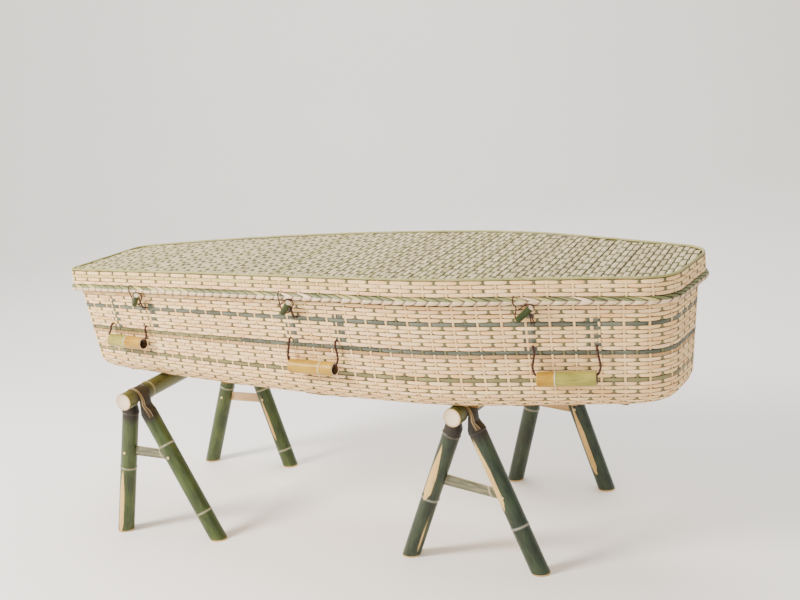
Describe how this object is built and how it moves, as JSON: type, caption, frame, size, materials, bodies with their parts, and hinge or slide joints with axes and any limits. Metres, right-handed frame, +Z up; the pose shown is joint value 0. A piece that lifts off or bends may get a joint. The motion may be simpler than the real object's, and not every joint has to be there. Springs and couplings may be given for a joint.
{
  "type": "bamboo coffin",
  "caption": "Woven split-bamboo coffin with a lift-off lid, tapered at the foot, corded bamboo handles and toggles, resting on trestles of bent bamboo.",
  "frame": {"origin": "on the floor in the middle of the footprint", "axes": "+X from the foot end to the head end, +Z up, the front is -Y"},
  "size_m": [1.962, 0.8408, 0.8419],
  "materials": {
    "split_bamboo_weave": "split bamboo, plain woven, dull",
    "lid_weave": "split bamboo, twilled and plain woven, dull",
    "rim_cane": "whole cane, slight sheen",
    "braid": "green and cream strands, dull",
    "handle_culm": "amber culm with one pale node, satin",
    "toggle_culm": "dark green culm, satin",
    "cord": "twisted red-brown cord",
    "bar_culm": "olive green culm, satin",
    "leg_culm": "green culm with pale stripes, satin",
    "crossbar": "split culm, dull",
    "dowel": "pale bamboo wood"
  },
  "bodies": {
    "root": {"coffin_body": "split_bamboo_weave", "coffin_lid": "lid_weave", "lid_rim_cane": "rim_cane", "lid_braided_border": "braid", "handle_front_foot": "handle_culm", "handle_cord_front_foot": "cord", "toggle_peg_front_foot": "toggle_culm", "toggle_loop_front_foot": "cord", "toggle_tie_front_foot": "cord", "handle_front_middle": "handle_culm", "handle_cord_front_middle": "cord", "toggle_peg_front_middle": "toggle_culm", "toggle_loop_front_middle": "cord", "toggle_tie_front_middle": "cord", "handle_front_head": "handle_culm", "handle_cord_front_head": "cord", "toggle_peg_front_head": "toggle_culm", "toggle_loop_front_head": "cord", "toggle_tie_front_head": "cord", "handle_back_foot": "handle_culm", "handle_cord_back_foot": "cord", "toggle_peg_back_foot": "toggle_culm", "toggle_loop_back_foot": "cord", "toggle_tie_back_foot": "cord", "handle_back_middle": "handle_culm", "handle_cord_back_middle": "cord", "toggle_peg_back_middle": "toggle_culm", "toggle_loop_back_middle": "cord", "toggle_tie_back_middle": "cord", "handle_back_head": "handle_culm", "handle_cord_back_head": "cord", "toggle_peg_back_head": "toggle_culm", "toggle_loop_back_head": "cord", "toggle_tie_back_head": "cord", "foot_trestle_bar": "bar_culm", "foot_trestle_front_legs": "leg_culm", "foot_trestle_front_crossbar": "crossbar", "foot_trestle_front_dowel_left": "dowel", "foot_trestle_front_dowel_right": "dowel", "foot_trestle_back_legs": "leg_culm", "foot_trestle_back_crossbar": "crossbar", "foot_trestle_back_dowel_left": "dowel", "foot_trestle_back_dowel_right": "dowel", "head_trestle_bar": "bar_culm", "head_trestle_front_legs": "leg_culm", "head_trestle_front_crossbar": "crossbar", "head_trestle_front_dowel_left": "dowel", "head_trestle_front_dowel_right": "dowel", "head_trestle_back_legs": "leg_culm", "head_trestle_back_crossbar": "crossbar", "head_trestle_back_dowel_left": "dowel", "head_trestle_back_dowel_right": "dowel"}
  },
  "joints": []
}
